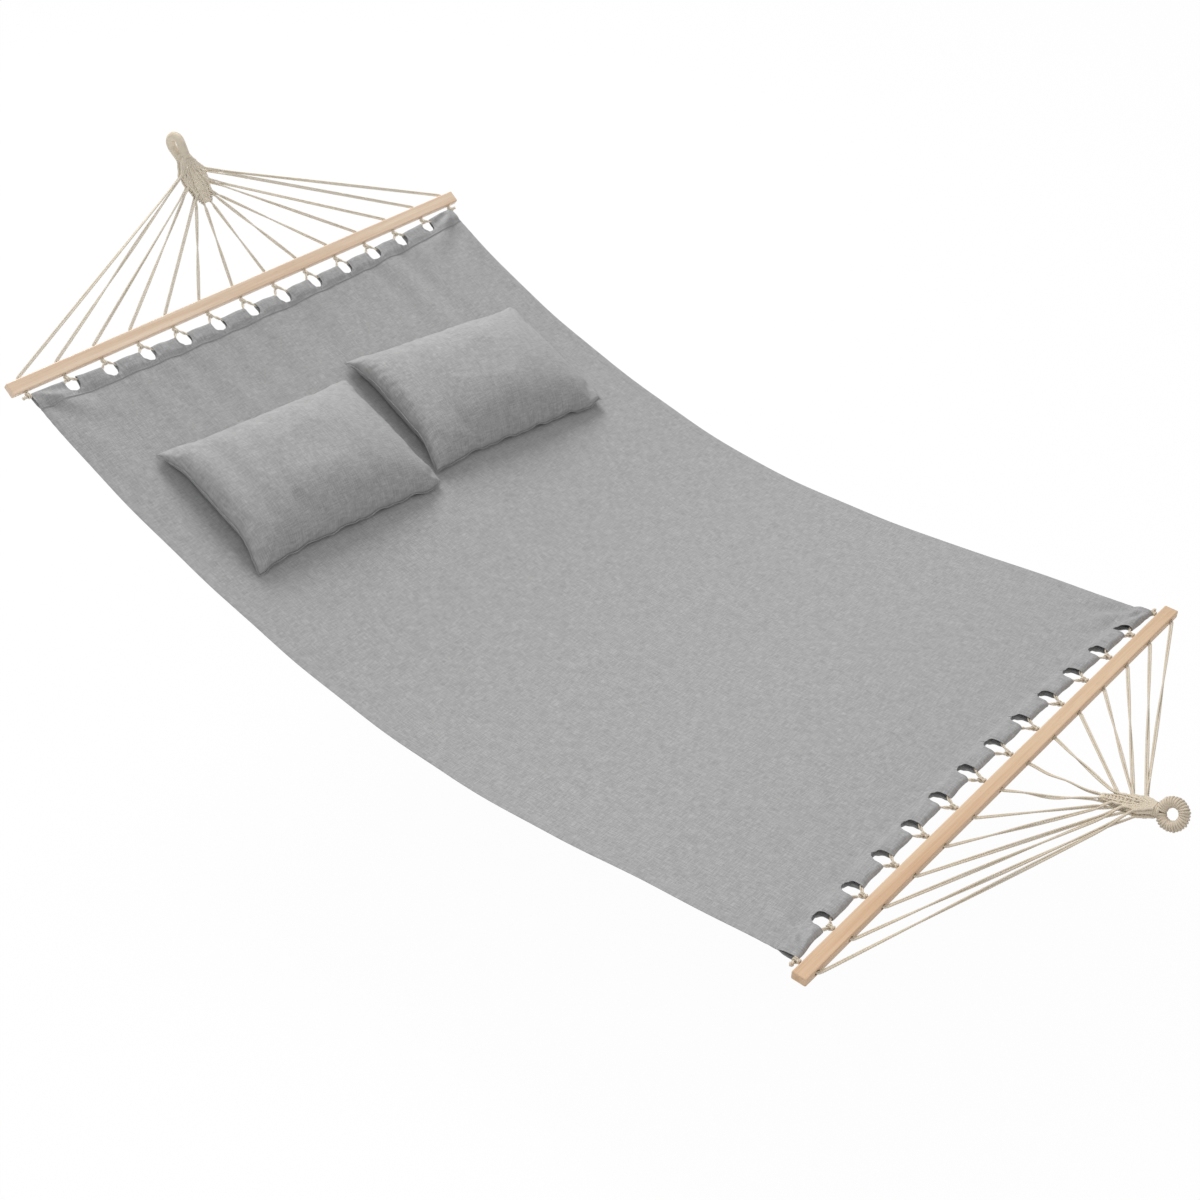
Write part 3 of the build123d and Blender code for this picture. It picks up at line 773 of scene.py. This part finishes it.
def knot_line(centre, ahead):
    """A small overhand knot about a centre."""
    u = unit(np.cross(ahead, ACROSS))
    a = np.linspace(0, 2 * np.pi, 64)
    x = (np.sin(a) + 2 * np.sin(2 * a)) / 3
    y = (np.cos(a) - 2 * np.cos(2 * a)) / 3
    z = -np.sin(3 * a) / 2.4
    return centre + KNOT_SIZE * (x[:, None] * ACROSS + y[:, None] * u + z[:, None] * ahead)


def cord(end, index):
    """One doubled cord with its knot and the loop round the header rope."""
    rng = np.random.default_rng(100 * (1 + end.at_head) + index)
    slack = CORD_SLACK.get((end.name, index + 1), (0.0, 0.0))
    facts = {"turn": rng.uniform(-1.6, 1.6), "slack": slack[0], "wave": slack[1]}
    parts = Parts()
    for face in (-1, 1):
        line = strand_line(end, index, face, facts)
        from_throat = np.linalg.norm(line - end.throat, axis=1)
        swelled = CORD_RADIUS * (1 + 0.25 * np.exp(-((from_throat / 0.09) ** 4)))
        parts.tube(line, swelled, plies=CORD_PLIES, phase=rng.uniform(0, 6))
    y = HOLES[index]
    knot = end.bar_face + ACROSS * y - end.bar_out * (BAR_WIDTH + KNOT_REACH)
    parts.tube(knot_line(knot, end.bar_out), CORD_RADIUS * 0.95, plies=CORD_PLIES)
    loop = end.on_rope(LOOP_REACH, y)
    ahead = unit(knot - loop)
    lift = np.cross(ahead, ACROSS)
    a = np.linspace(-0.85 * np.pi, 0.85 * np.pi, 26)
    for shift in (-0.0021, 0.0021):
        ring = loop - ahead * (np.cos(a) * LOOP_RADIUS)[:, None] + lift * (np.sin(a) * LOOP_RADIUS)[:, None]
        ring = np.concatenate([[knot + lift * -0.001], ring, [knot + lift * 0.001]]) + ACROSS * shift
        parts.tube(resample(rounded(ring, 1), CORD_STEP), CORD_RADIUS * 0.9, plies=CORD_PLIES)
    obj = parts.build(f"{end.name}_cord_{index + 1:02d}_dressed", COTTON[end.name])
    bend_at_clew(obj)
    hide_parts(f"{end.name}_cord_{index + 1:02d}")


def notch_side(y, side):
    """Places of the header rope on one side of a notch, from its cord loop into the tunnel."""
    mouth = y + side * NOTCH_WIDTH / 2
    if abs(mouth) >= HALF_WIDTH:
        return []
    inset = hem_edge(mouth) + ROPE_INSET
    tunnel = [(inset, mouth + side * reach) for reach in (ROPE_BEND, ROPE_TAIL)]
    return [(LOOP_REACH, y + side * LOOP_SPREAD), *tunnel]


def header_rope(end):
    """Doubled rope that runs in the tunnel and dips to a cord loop at each notch."""
    tail = HOLES[-1] + ROPE_TAIL
    places = [(LOOP_REACH, -tail)]
    for y in HOLES:
        places += [*notch_side(y, -1)[::-1], (LOOP_REACH, y), *notch_side(y, 1)]
    places.append((LOOP_REACH, tail))
    line = resample(rounded([end.on_rope(d, y) for d, y in places], 2), ROPE_STEP)
    _, u, v = path_frames(line)
    turn = np.arange(len(line))[:, None] * ROPE_STEP * 2 * np.pi / ROPE_LAY
    parts = Parts()
    for start in (0, np.pi):
        offset = (u * np.cos(turn + start) + v * np.sin(turn + start)) * ROPE_PLY_OFFSET
        parts.tube(line + offset, ROPE_PLY_RADIUS, plies=CORD_PLIES, phase=start)
    for y in (-tail, tail):
        parts.tube(knot_line(end.on_rope(LOOP_REACH, y), end.bar_out), CORD_RADIUS, plies=CORD_PLIES)
    obj = parts.build(f"{end.name}_header_rope_dressed", COTTON[end.name])
    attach(obj, "hammock")
    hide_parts(f"{end.name}_header_rope")


def nexus(end):
    """Woven clew: a packed core, and crossing cords in a herringbone on both faces."""
    parts = Parts()
    sides = 40
    t = np.linspace(CLEW_START, end.distances[-1], 44)
    angle = np.linspace(0, 2 * np.pi, sides, endpoint=False)
    cos, sin = np.cos(angle), np.sin(angle)
    square = (np.abs(cos) ** 3 + np.abs(sin) ** 3) ** (-1 / 3)
    x = end.half_width(t)[:, None] * (cos * square)[None] * 0.86
    w = end.half_depth(t)[:, None] * (sin * square)[None] * 0.72
    parts.add(end.at(t[:, None], x, w), tube_faces(len(t), sides))
    rows = np.arange(0.012, end.distances[-1] - 0.008, WEFT_STEP)
    for face in (-1, 1):
        for number, place in enumerate(rows):
            reach = end.half_width(place) * 0.80
            x = np.linspace(-reach, reach, max(int(reach / 0.0014), 10))
            chevron = place + WEFT_DROP * (np.abs(x) / end.widths.max()) * 1.6
            chevron = np.minimum(chevron, end.distances[-1])
            phase = np.pi * number
            ripple = WEAVE_DEPTH * np.sin(2 * np.pi * x / (2 * WEFT_STEP) + phase)
            near_edge = smooth_step((reach - np.abs(x)) / 0.006)
            w = face * (end.half_depth(chevron) * 0.74 * (0.35 + 0.65 * near_edge) + ripple * near_edge)
            parts.tube(end.at(chevron, x, w), CORD_RADIUS * 0.95, plies=CORD_PLIES, phase=number)
    obj = parts.build(f"{end.name}_nexus_dressed", COTTON[end.name])
    bend_at_clew(obj)
    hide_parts(f"{end.name}_nexus")


# Hanging eyes
def teardrop_line():
    """Centre line of the head eye in its own plane, from leg to leg."""
    centre = np.array((0.0, HEAD_EYE_CENTRE))
    foot = np.array((HEAD_LEG_OFFSET, 0.0))
    span = foot - centre
    lean = math.acos(HEAD_EYE_RADIUS / np.linalg.norm(span))
    touch = math.atan2(span[1], span[0]) + lean
    a = np.linspace(np.pi - touch, touch, 60)
    arc = centre + HEAD_EYE_RADIUS * np.stack([np.cos(a), np.sin(a)], -1)
    return np.concatenate([[(-HEAD_LEG_OFFSET, -0.004)], arc, [(HEAD_LEG_OFFSET, -0.004)]])


def ring_line():
    """Centre line of the foot eye in its own plane, once round."""
    a = -np.pi / 2 - np.linspace(0.10, 2 * np.pi - 0.10, 90)
    centre = np.array((0.0, FOOT_EYE_RADIUS + EYE_DIAMETER / 2))
    return centre + FOOT_EYE_RADIUS * np.stack([np.cos(a), np.sin(a)], -1)


def eye(end, line, twist, wrap_radius, wrap_pitch, unevenness):
    """Bundle of cord under a whipping that winds round it."""
    flat = np.cross(end.out, ACROSS)
    sideways = flat * math.cos(math.radians(twist)) + ACROSS * math.sin(math.radians(twist))
    square = np.cross(sideways, end.out)
    fine = resample(np.column_stack([line, np.zeros(len(line))]), EYE_STEP)
    points = end.throat + fine[:, :1] * sideways + fine[:, 1:2] * end.out
    core = Parts()
    inner = EYE_DIAMETER / 2 - 1.15 * wrap_radius
    core.tube(points[::4], inner, sides=24)
    wide, deep = end.half_width(0.0), end.half_depth(0.0)
    t = np.linspace(-0.012, 0.006, 8)[:, None]
    angle = np.linspace(0, 2 * np.pi, NECK_SIDES, endpoint=False)[None]
    neck = end.at(t, wide * 0.92 * np.cos(angle), deep * 0.92 * np.sin(angle))
    core.add(neck, grid_faces(len(t), NECK_SIDES, wrap=True))
    core_obj = core.build(f"{end.name}_eye_core_dressed", WHIPPING[end.name])
    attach(core_obj, "hanging_eyes")
    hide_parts(f"{end.name}_eye_core")
    coil = Parts()
    turns = int(len(points) * EYE_STEP / wrap_pitch)
    samples = 22
    at = np.linspace(0, len(points) - 1, turns * samples + 1)
    index = np.arange(len(points))
    centre = np.stack([np.interp(at, index, points[:, k]) for k in range(3)], -1)
    ahead = tangents(centre)
    inward = np.cross(ahead, square)
    number = np.arange(len(at)) / samples
    a = 2 * np.pi * number
    uneven = 1 + unevenness * np.sin(number * 2.4) * np.sin(number * 0.9)
    radius = (EYE_DIAMETER / 2 - wrap_radius) * uneven
    slant = unevenness * wrap_radius * np.sin(a + number * 0.7)
    wound = centre + inward * (np.cos(a) * radius)[:, None] + square * (np.sin(a) * radius)[:, None]
    wound = wound + ahead * slant[:, None]
    coil.tube(wound, wrap_radius, sides=8)
    neck_turns = max(int(0.014 / (2 * wrap_radius)), 3)
    number = np.linspace(0, neck_turns, neck_turns * 26)
    a = 2 * np.pi * number
    t = -0.010 + 0.0135 * number / neck_turns
    collar = end.at(t, (wide - 0.2 * wrap_radius) * np.cos(a), (deep - 0.2 * wrap_radius) * np.sin(a))
    coil.tube(collar, wrap_radius, sides=8)
    coil_obj = coil.build(f"{end.name}_eye_whipping_dressed", WHIPPING[end.name])
    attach(coil_obj, "hanging_eyes")
    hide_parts(f"{end.name}_eye_whipping")


# Pillows: a crowned top and a low base that meet in a knife edge, puckered by a cloth simulation
def edge_spaced(count):
    """Values from -1 to 1 that lie closer together near the ends."""
    even = np.linspace(-1, 1, count + 1)
    return 0.7 * even + 0.3 * np.sin(np.pi / 2 * even)


def pillow_shape(fold, rng):
    """Points and faces of the closed shape, its seam at zero height, the seam's loop and the top's point count."""
    columns, rows = int(PILLOW_WIDTH / PILLOW_STEP), int(PILLOW_LENGTH / PILLOW_STEP)
    v, u = np.meshgrid(edge_spaced(rows), edge_spaced(columns), indexing="ij")
    half_x, half_y = PILLOW_WIDTH / 2, PILLOW_LENGTH / 2
    x = u * (half_x - PILLOW_DRAW_IN * smooth_step((1 - np.abs(v)) / 0.42))
    y = v * (half_y - PILLOW_DRAW_IN * smooth_step((1 - np.abs(u)) / 0.5))
    from_x, from_y = (1 - np.abs(u)) * half_x, (1 - np.abs(v)) * half_y
    rim = np.minimum(from_x, from_y)
    phase = rng.uniform(0, 2 * np.pi, 8)
    round_trip = np.arctan2(v, u) * 0.24
    top = np.clip(1 - u**2, 0, 1) ** 0.47 * np.clip(1 - v**2, 0, 1) ** 0.42
    top = top * (1 + 0.02 * np.sin(x * 11 + phase[0]) * np.sin(y * 9 + phase[1]))
    top = top * (PILLOW_HEIGHT - PILLOW_SEAM) / top.max()
    top = top + 0.0019 * wave_noise(x, y * 62, int(phase[0] * 100), 6, 9) * smooth_step(rim / 0.05)
    base = (1 - np.exp(-from_x / PILLOW_BASE_EDGE)) * (1 - np.exp(-from_y / PILLOW_BASE_EDGE))
    pucker = np.sin(round_trip * 235 + phase[2]) * 0.6 + np.sin(round_trip * 410 + phase[3]) * 0.4
    pucker = pucker * (0.6 + 0.4 * np.sin(round_trip * 31 + phase[4]))
    sway = 0.0036 * np.sin(y * 62 + phase[5]) + 0.0024 * np.sin(y * 121 + phase[6])
    sway = sway * smooth_step((u - 0.55) / 0.45) + 0.0012 * np.sin(x * 70 + phase[7]) * np.abs(v) ** 6
    near_rim = np.exp(-rim / 0.010)
    side_lift = PILLOW_SIDE_LIFT * smooth_step((-v - 0.3) / 0.7) * (1 - u**4)
    seam_rise = sway * np.exp(-rim / 0.02) + side_lift * np.exp(-rim / 0.012)
    x = x + 0.0011 * pucker * near_rim * np.sign(u) * (from_x < from_y)
    y = y + 0.0011 * pucker * near_rim * np.sign(v) * (from_y <= from_x)
    top = top + sway * np.exp(-rim / 0.02) + side_lift * np.exp(-rim / 0.05)
    top = top + 0.0016 * pucker * (rim / 0.009) * np.exp(1 - rim / 0.009)
    low = -PILLOW_SEAM * base + seam_rise
    for side_x, side_y, pull, rise in fold:
        weight = smooth_step(1 - np.hypot(half_x - side_x * x, half_y - side_y * y) / 0.065)
        x, y = x - side_x * pull * weight, y - side_y * pull * weight
        top, low = top + rise * weight, low + 0.6 * rise * weight
    inner = (np.abs(u) < 1) & (np.abs(v) < 1)
    low_index = np.arange(u.size).reshape(u.shape).copy()
    low_index[inner] = u.size + np.arange(inner.sum())
    faces = grid_faces(rows + 1, columns + 1)
    mapped = low_index.ravel()
    under = [[int(mapped[i]) for i in face][::-1] for face in faces]
    border = [*range(columns), *[(r + 1) * (columns + 1) - 1 for r in range(rows)]]
    border += [rows * (columns + 1) + c for c in range(columns, 0, -1)]
    border += [r * (columns + 1) for r in range(rows, 0, -1)]
    points = np.concatenate([
        np.stack([x, y, top], -1).reshape(-1, 3), np.stack([x, y, low], -1)[inner],
    ])
    return points, faces + under, border, u.size


def puckered(points, faces, border, top_count):
    """The shape after a cloth simulation with slack cloth, held at the seam."""
    mesh = bpy.data.meshes.new("panels")
    mesh.from_pydata(points.tolist(), [], faces)
    obj = bpy.data.objects.new("panels", mesh)
    bpy.context.scene.collection.objects.link(obj)
    held = obj.vertex_groups.new(name="held")
    held.add([int(i) for i in border], 1.0, "REPLACE")
    held.add(list(range(top_count, len(points))), 1.0, "REPLACE")
    cloth = obj.modifiers.new("cloth", "CLOTH")
    settings = cloth.settings
    settings.quality = 6
    settings.mass = 0.25
    settings.tension_stiffness = settings.compression_stiffness = 20
    settings.shear_stiffness = 6
    settings.bending_stiffness = 0.12
    settings.tension_damping = settings.compression_damping = settings.shear_damping = 6
    settings.shrink_min = -PILLOW_SLACK
    settings.use_pressure = True
    settings.uniform_pressure_force = PILLOW_PRESSURE
    settings.vertex_group_mass = "held"
    settings.effector_weights.gravity = 0
    cloth.collision_settings.use_self_collision = False
    for step in range(1, PILLOW_FRAMES + 1):
        bpy.context.scene.frame_set(step)
    shaped = obj.evaluated_get(bpy.context.evaluated_depsgraph_get()).to_mesh()
    moved = np.empty(len(points) * 3)
    shaped.vertices.foreach_get("co", moved)
    bpy.data.objects.remove(obj)
    bpy.context.scene.frame_set(1)
    move = moved.reshape(-1, 3) - points
    length = np.linalg.norm(move, axis=1)[:, None] + 1e-9
    return points + move / length * PILLOW_CAP * np.tanh(length / PILLOW_CAP)


def pillow(name, place, fold, seed):
    """Stuffed pillow with a sewn knife edge, bedded on the cloth."""
    rng = np.random.default_rng(seed)
    flat, faces, border, top_count = pillow_shape(fold, rng)
    shape = puckered(flat, faces, border, top_count)
    x, y, z = shape.T
    corner = np.clip(np.hypot(x / (PILLOW_WIDTH / 2), y / (PILLOW_LENGTH / 2)) - 1, 0, 0.42) / 0.42
    seam_height = PILLOW_SEAM * (1 - 0.45 * corner)
    z = np.minimum(z + seam_height, PILLOW_HEIGHT)
    z = np.maximum(z, 0) + PILLOW_LIFT
    s0, y0, turn = place
    turn = math.radians(turn)
    s = s0 + x * math.cos(turn) - y * math.sin(turn)
    across = y0 + x * math.sin(turn) + y * math.cos(turn)
    points = on_cloth(s, across, z + CLOTH_THICKNESS / 2)
    weave = np.column_stack([flat[:, 0] + seed, flat[:, 1], flat[:, 2]])
    obj = make_object(f"{name}_dressed", points, faces, CANVAS, weave=weave)
    fine = obj.modifiers.new("fine", "SUBSURF")
    fine.levels = fine.render_levels = 1
    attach(obj, name)
    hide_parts(f"{name}_cover", f"{name}_filling")
    parts = Parts()
    parts.tube(points[border + border[:2]], SEAM_RADIUS, sides=6)
    seam_obj = parts.build(f"{name}_seam", CANVAS, weave=True)
    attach(seam_obj, name)


for each_end in (HEAD, FOOT):
    for hole in range(HOLE_COUNT):
        cord(each_end, hole)
    header_rope(each_end)
    nexus(each_end)
eye(HEAD, teardrop_line(), HEAD_EYE_TWIST, EYE_CORD_RADIUS, 2.05 * EYE_CORD_RADIUS, 0.02)
eye(FOOT, ring_line(), FOOT_EYE_TWIST, RING_CORD_RADIUS, 1.85 * RING_CORD_RADIUS, 0.07)
pillow("left_pillow", LEFT_PILLOW, LEFT_FOLDS, 1)
pillow("right_pillow", RIGHT_PILLOW, RIGHT_FOLDS, 2)

for bar, wood in (("head_bar", PALE_BEECH), ("foot_bar", BEECH_PAINTED_FOOT_SHADE)):
    mesh = frame["nodes"][bar].data
    mesh.materials.clear()
    mesh.materials.append(wood)


# Camera, lamps, floor
def place_camera():
    data = bpy.data.cameras.new("camera")
    data.lens = CAMERA_LENS
    data.sensor_width = SENSOR
    data.sensor_fit = "HORIZONTAL"
    camera = bpy.data.objects.new("camera", data)
    yaw, pitch = math.radians(CAMERA_YAW), math.radians(CAMERA_PITCH)
    ahead = Vector((math.cos(pitch) * math.cos(yaw), math.cos(pitch) * math.sin(yaw), math.sin(pitch)))
    camera.location = CAMERA_PLACE
    camera.rotation_mode = "QUATERNION"
    camera.rotation_quaternion = ahead.to_track_quat("-Z", "Y")
    bpy.context.scene.collection.objects.link(camera)
    bpy.context.scene.camera = camera


def area_lamp(name, place, size, power):
    data = bpy.data.lights.new(name, "AREA")
    data.shape = "DISK"
    data.size = size
    data.energy = power
    lamp = bpy.data.objects.new(name, data)
    lamp.location = place
    lamp.rotation_euler = (Vector(LAMP_TARGET) - Vector(place)).to_track_quat("-Z", "Y").to_euler()
    bpy.context.scene.collection.objects.link(lamp)


def white_for_camera(tree, factor=1.0):
    """The factor for camera, glossy and transmission rays, and zero for all others."""
    path = node(tree, "ShaderNodeLightPath")
    seen = maths(tree, "MAXIMUM", path.outputs["Is Camera Ray"], path.outputs["Is Glossy Ray"])
    seen = maths(tree, "MAXIMUM", seen, path.outputs["Is Transmission Ray"])
    return maths(tree, "MULTIPLY", seen, factor)


def stage():
    """Wide floor below the hammock, white to the camera but with its shadow."""
    level = cad_box[0][2] - FLOOR_DROP
    corners = [(x * FLOOR_HALF, y * FLOOR_HALF, level) for x, y in ((-1, -1), (1, -1), (1, 1), (-1, 1))]
    mesh = bpy.data.meshes.new("floor")
    mesh.from_pydata(corners, [], [(0, 1, 2, 3)])
    floor = bpy.data.objects.new("floor", mesh)
    bpy.context.scene.collection.objects.link(floor)
    material, tree, shader = new_material("pale_floor", grey(0.8), 0.9)
    emission = node(tree, "ShaderNodeEmission")
    mix = node(tree, "ShaderNodeMixShader")
    tree.links.new(white_for_camera(tree, FLOOR_WHITE), mix.inputs[0])
    tree.links.new(shader.outputs[0], mix.inputs[1])
    tree.links.new(emission.outputs[0], mix.inputs[2])
    tree.links.new(mix.outputs[0], tree.nodes["Material Output"].inputs["Surface"])
    mesh.materials.append(material)


def world():
    made = bpy.data.worlds.new("studio")
    made.use_nodes = True
    tree = made.node_tree
    soft = tree.nodes["Background"]
    soft.inputs["Color"].default_value = (1, 1, 1, 1)
    soft.inputs["Strength"].default_value = SKY_STRENGTH
    white = node(tree, "ShaderNodeBackground")
    white.inputs["Color"].default_value = (1, 1, 1, 1)
    white.inputs["Strength"].default_value = 1.0
    mix = node(tree, "ShaderNodeMixShader")
    tree.links.new(white_for_camera(tree), mix.inputs[0])
    tree.links.new(soft.outputs[0], mix.inputs[1])
    tree.links.new(white.outputs[0], mix.inputs[2])
    tree.links.new(mix.outputs[0], tree.nodes["World Output"].inputs["Surface"])
    bpy.context.scene.world = made


place_camera()
stage()
world()
area_lamp("key", *KEY_LAMP)
area_lamp("fill", *FILL_LAMP)
bpy.context.scene.view_settings.view_transform = "Standard"
